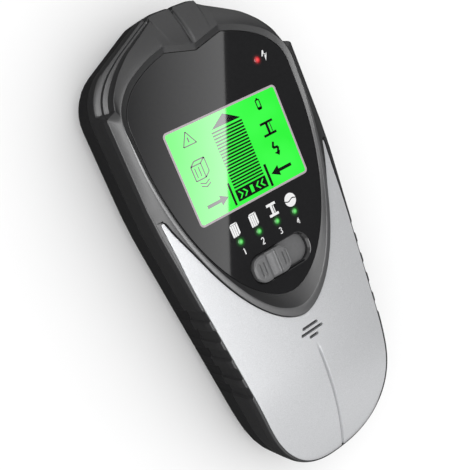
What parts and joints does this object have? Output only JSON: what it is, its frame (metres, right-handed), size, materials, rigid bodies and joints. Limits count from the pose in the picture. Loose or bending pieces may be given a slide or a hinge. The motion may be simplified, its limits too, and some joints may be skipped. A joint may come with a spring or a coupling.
{
  "type": "stud finder",
  "caption": "Hand-held wall scanner with a green display, mode slider, side scan button, silver front cover and a hinged battery door over a block battery.",
  "frame": {"origin": "middle of the outline on the flat back, with the device lying on its back", "axes": "+X to the right across the front face, +Y along the body towards the nose, +Z out of the front face"},
  "size_m": [0.0702, 0.155, 0.0283],
  "materials": {
    "case_black": "fine spark-eroded texture, black",
    "front_black": "satin charcoal",
    "silver_paint": "silver paint with a fine metallic grain",
    "clear_window": "clear, high gloss",
    "black_print": "black print behind the window",
    "lcd_frame_grey": "pale grey",
    "lcd_green": "green backlit display glass",
    "diffuser": "milky diffuser",
    "elastomer": "grey elastomer strips",
    "pcb_green": "solder mask green",
    "pcb_blue": "solder mask blue",
    "chip_black": "moulded package",
    "metal_can": "drawn can",
    "lamp_green": "green light pipe",
    "lamp_red": "red light pipe",
    "knob_grey": "satin mid grey",
    "switch_white": "ivory",
    "steel": "zinc plated",
    "button_black": "soft touch black",
    "copper": "enamelled copper wire",
    "former": "natural nylon",
    "brass": "brass disc",
    "lead_red": "red PVC",
    "lead_black": "black PVC",
    "lead_yellow": "yellow PVC",
    "battery_wrap": "printed steel jacket, plain",
    "foam": "closed-cell foam"
  },
  "bodies": {
    "case": {"back_shell": "case_black", "front_shell": "front_black", "silver_cover": "silver_paint", "window_lens": "clear_window", "window_mask": "black_print", "lcd_frame": "lcd_frame_grey", "lcd_glass": "lcd_green", "lcd_backlight": "diffuser", "zebra_strips": "elastomer", "main_pcb": "pcb_green", "mcu_chip": "chip_black", "crystal": "metal_can", "capacitor": "metal_can", "mode_leds": "switch_white", "light_pipes": "lamp_green", "warning_led": "switch_white", "warning_light_pipe": "lamp_red", "mode_switch_body": "steel", "tact_switch_body": "steel", "sensor_board": "pcb_blue", "metal_coil": "copper", "coil_former": "former", "board_header": "chip_black", "buzzer": "brass", "buzzer_leads": "lead_yellow", "battery_9v": "battery_wrap", "battery_terminals": "steel", "battery_snap": "button_black", "lead_red": "lead_red", "lead_black": "lead_black", "case_screws": "steel", "pcb_screws": "steel", "sensor_screws": "steel"},
    "knob": {"mode_knob": "knob_grey", "mode_switch_slider": "switch_white"},
    "button": {"scan_button": "button_black", "tact_switch_stub": "switch_white"},
    "door": {"battery_door": "case_black", "door_pad": "foam"}
  },
  "joints": [
    {"name": "mode_slide", "type": "slide", "parent": "case", "child": "knob", "axis": [1, 0, 0], "range_m": [0, 0.0084]},
    {"name": "scan_press", "type": "slide", "parent": "case", "child": "button", "axis": [-1, 0, 0], "range_m": [0, 0.0008], "stiffness_N_per_m": 500},
    {"name": "door_hinge", "type": "hinge", "parent": "case", "child": "door", "pos_m": [0, -0.066, 0.0026], "axis": [-1, 0, 0], "range_deg": [0, 80]}
  ]
}
